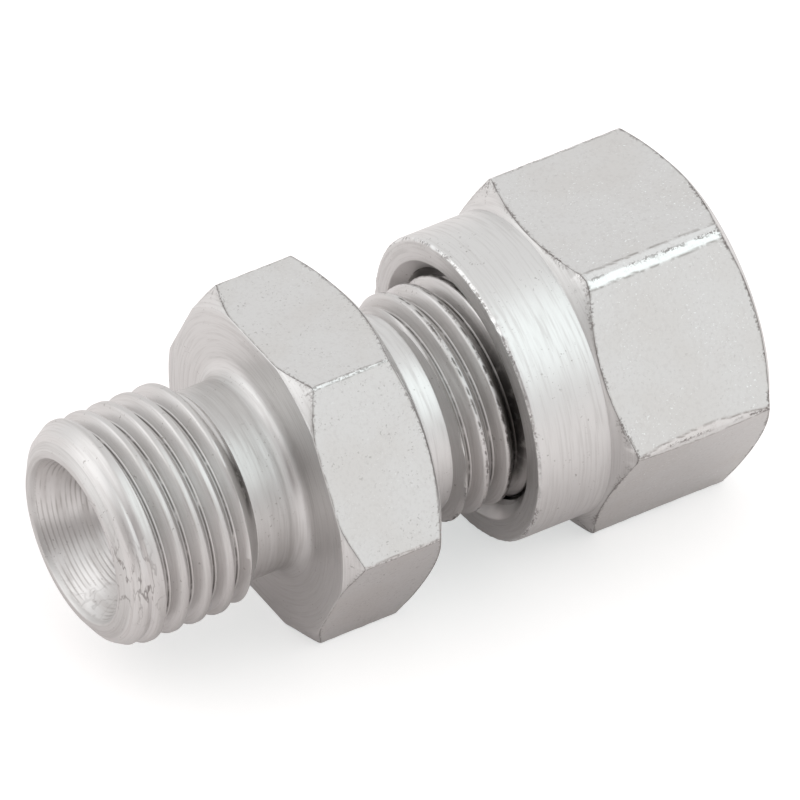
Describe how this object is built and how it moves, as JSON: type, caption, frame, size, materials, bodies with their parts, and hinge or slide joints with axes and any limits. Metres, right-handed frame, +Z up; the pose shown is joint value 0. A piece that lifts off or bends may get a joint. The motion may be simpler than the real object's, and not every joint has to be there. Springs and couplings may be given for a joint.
{
  "type": "male stud coupling",
  "caption": "Straight threaded pipe coupling with a male stud, a spanner hexagon and a union nut that clamps a tube with a cutting ring.",
  "frame": {"origin": "under the middle of the length, on the plane of the two hexagons' lower flats", "axes": "+X along the shared axis from the stud to the nut, +Z up, one flat of each hexagon faces up and one faces down"},
  "size_m": [0.0408, 0.022, 0.019],
  "materials": {
    "body_steel": "zinc plated, matte drawn flats and glossy turned surfaces",
    "nut_steel": "zinc plated, matte drawn flats and fine turned grooves",
    "ring_steel": "hardened and turned bright"
  },
  "bodies": {
    "body": {"stud_body": "body_steel"},
    "ring": {"cutting_ring": "ring_steel"},
    "nut": {"union_nut": "nut_steel"}
  },
  "joints": [
    {"name": "ring_slide", "type": "slide", "parent": "body", "child": "ring", "axis": [1, 0, 0], "range_m": [-0.0005, 0.00375]},
    {"name": "nut_turn", "type": "hinge", "parent": "ring", "child": "nut", "pos_m": [0.0127, 0, 0.0095], "axis": [1, 0, 0], "range_deg": [-120, 900]}
  ],
  "couplings": [
    {"joint": "ring_slide", "follows": "nut_turn", "m_per_rad": 0.00023873}
  ]
}
